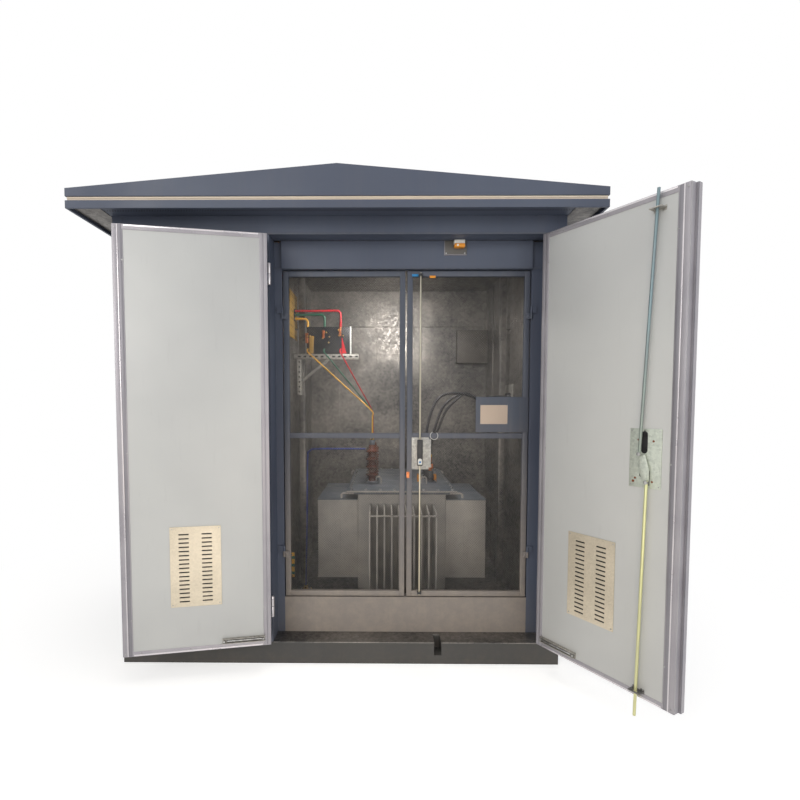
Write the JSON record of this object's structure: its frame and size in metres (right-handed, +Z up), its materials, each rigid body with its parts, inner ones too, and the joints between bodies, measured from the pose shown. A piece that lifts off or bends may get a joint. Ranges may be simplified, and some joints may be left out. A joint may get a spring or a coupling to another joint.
{
  "type": "compact substation",
  "caption": "Walk-up steel kiosk with a gable roof, two outer doors and two mesh doors, holding an oil-filled distribution transformer and its high- and low-voltage connections.",
  "frame": {"origin": "on the underside of the base frame, under the middle of the housing's plan", "axes": "+Z up; the doors face -Y; +X to the right of someone facing the doors"},
  "size_m": [2.6076, 2.4055, 2.4016],
  "materials": {
    "housing_paint": "dark blue-grey powder coat, satin",
    "liner": "pale grey coated sheet, satin",
    "galvanised": "zinc spangle, semi-gloss",
    "aluminium": "mill-finish extrusion and plate",
    "eave_strip": "cream painted strip",
    "transformer_grey": "grey tank paint, satin",
    "porcelain": "brown glazed insulator",
    "copper": "copper and orange-brown terminals",
    "black_plastic": "black moulded plastic and cable sheath",
    "zinc_rod": "yellow-passivated zinc",
    "phase_red": "red sleeve",
    "phase_green": "green sleeve",
    "phase_yellow": "yellow sleeve",
    "phase_blue": "blue sleeve"
  },
  "bodies": {
    "housing": {"base_frame": "housing_paint", "floor_plate": "galvanised", "left_wall": "housing_paint", "right_wall": "housing_paint", "rear_wall": "housing_paint", "left_bay_door": "housing_paint", "front_beam": "housing_paint", "partition": "galvanised", "right_lining": "galvanised", "back_lining": "galvanised", "left_jamb": "housing_paint", "right_jamb": "housing_paint", "header_panel": "housing_paint", "kick_panel": "housing_paint", "roof_tray": "housing_paint", "eave_strip": "eave_strip", "roof_cap": "housing_paint", "transformer_tank": "transformer_grey", "transformer_lid": "transformer_grey", "front_fins": "transformer_grey", "rear_fins": "transformer_grey", "left_fins": "transformer_grey", "right_fins": "transformer_grey", "hv_bushing_1": "porcelain", "hv_bushing_2": "porcelain", "hv_bushing_3": "porcelain", "lv_bushings": "copper", "hv_bracket": "galvanised", "terminal_board": "black_plastic", "yellow_bar": "phase_yellow", "green_bar": "phase_green", "red_bar": "phase_red", "yellow_conductor": "phase_yellow", "green_conductor": "phase_green", "red_conductor": "phase_red", "blue_conductor": "phase_blue", "gland_plate": "galvanised", "lv_cable_1": "black_plastic", "lv_cable_2": "black_plastic", "lv_cable_3": "black_plastic", "switch_plate": "aluminium"},
    "left_door": {"left_door_leaf": "housing_paint", "left_door_liner": "liner"},
    "right_door": {"right_door_leaf": "housing_paint", "right_door_liner": "liner"},
    "door_lock": {"lock_cam": "galvanised"},
    "upper_door_bolt": {"upper_bolt": "zinc_rod"},
    "lower_door_bolt": {"lower_bolt": "zinc_rod"},
    "left_mesh_leaf": {"left_mesh_door": "housing_paint"},
    "right_mesh_leaf": {"right_mesh_door": "housing_paint", "latch_plate": "galvanised", "name_panel": "housing_paint"},
    "mesh_handle": {"mesh_door_handle": "black_plastic"},
    "mesh_upper_rod": {"mesh_upper_bolt": "zinc_rod"},
    "mesh_lower_rod": {"mesh_lower_bolt": "zinc_rod"}
  },
  "joints": [
    {"name": "left_door_swing", "type": "hinge", "parent": "housing", "child": "left_door", "pos_m": [-0.338, -0.837, 1.12], "axis": [0, 0, -1], "range_deg": [-168.4, 8]},
    {"name": "right_door_swing", "type": "hinge", "parent": "housing", "child": "right_door", "pos_m": [1.02, -0.837, 1.12], "axis": [0, 0, 1], "range_deg": [-121.7, 50]},
    {"name": "lock_turn", "type": "hinge", "parent": "right_door", "child": "door_lock", "pos_m": [1.23639, -1.32629, 1.062], "axis": [-0.8508, -0.5255, 0], "range_deg": [0, 90]},
    {"name": "upper_bolt_slide", "type": "slide", "parent": "right_door", "child": "upper_door_bolt", "axis": [-0.0241, 0.0391, -0.9989], "range_m": [0, 0.055]},
    {"name": "lower_bolt_slide", "type": "slide", "parent": "right_door", "child": "lower_door_bolt", "axis": [0.0116, -0.0187, 0.9998], "range_m": [0, 0.055]},
    {"name": "left_mesh_swing", "type": "hinge", "parent": "housing", "child": "left_mesh_leaf", "pos_m": [-0.3, -0.718, 1.12], "axis": [0, 0, -1], "range_deg": [0, 90]},
    {"name": "right_mesh_swing", "type": "hinge", "parent": "housing", "child": "right_mesh_leaf", "pos_m": [0.966, -0.718, 1.12], "axis": [0, 0, 1], "range_deg": [0, 90]},
    {"name": "mesh_handle_turn", "type": "hinge", "parent": "right_mesh_leaf", "child": "mesh_handle", "pos_m": [0.405, -0.725, 1.063], "axis": [0, 1, 0], "range_deg": [0, 90]},
    {"name": "mesh_upper_rod_slide", "type": "slide", "parent": "right_mesh_leaf", "child": "mesh_upper_rod", "axis": [0, 0, -1], "range_m": [0, 0.016]},
    {"name": "mesh_lower_rod_slide", "type": "slide", "parent": "right_mesh_leaf", "child": "mesh_lower_rod", "axis": [0, 0, 1], "range_m": [0, 0.016]}
  ],
  "couplings": [
    {"joint": "upper_bolt_slide", "follows": "lock_turn", "m_per_rad": 0.035013},
    {"joint": "lower_bolt_slide", "follows": "lock_turn", "m_per_rad": 0.035013},
    {"joint": "mesh_upper_rod_slide", "follows": "mesh_handle_turn", "m_per_rad": 0.010185},
    {"joint": "mesh_lower_rod_slide", "follows": "mesh_handle_turn", "m_per_rad": 0.010185}
  ]
}
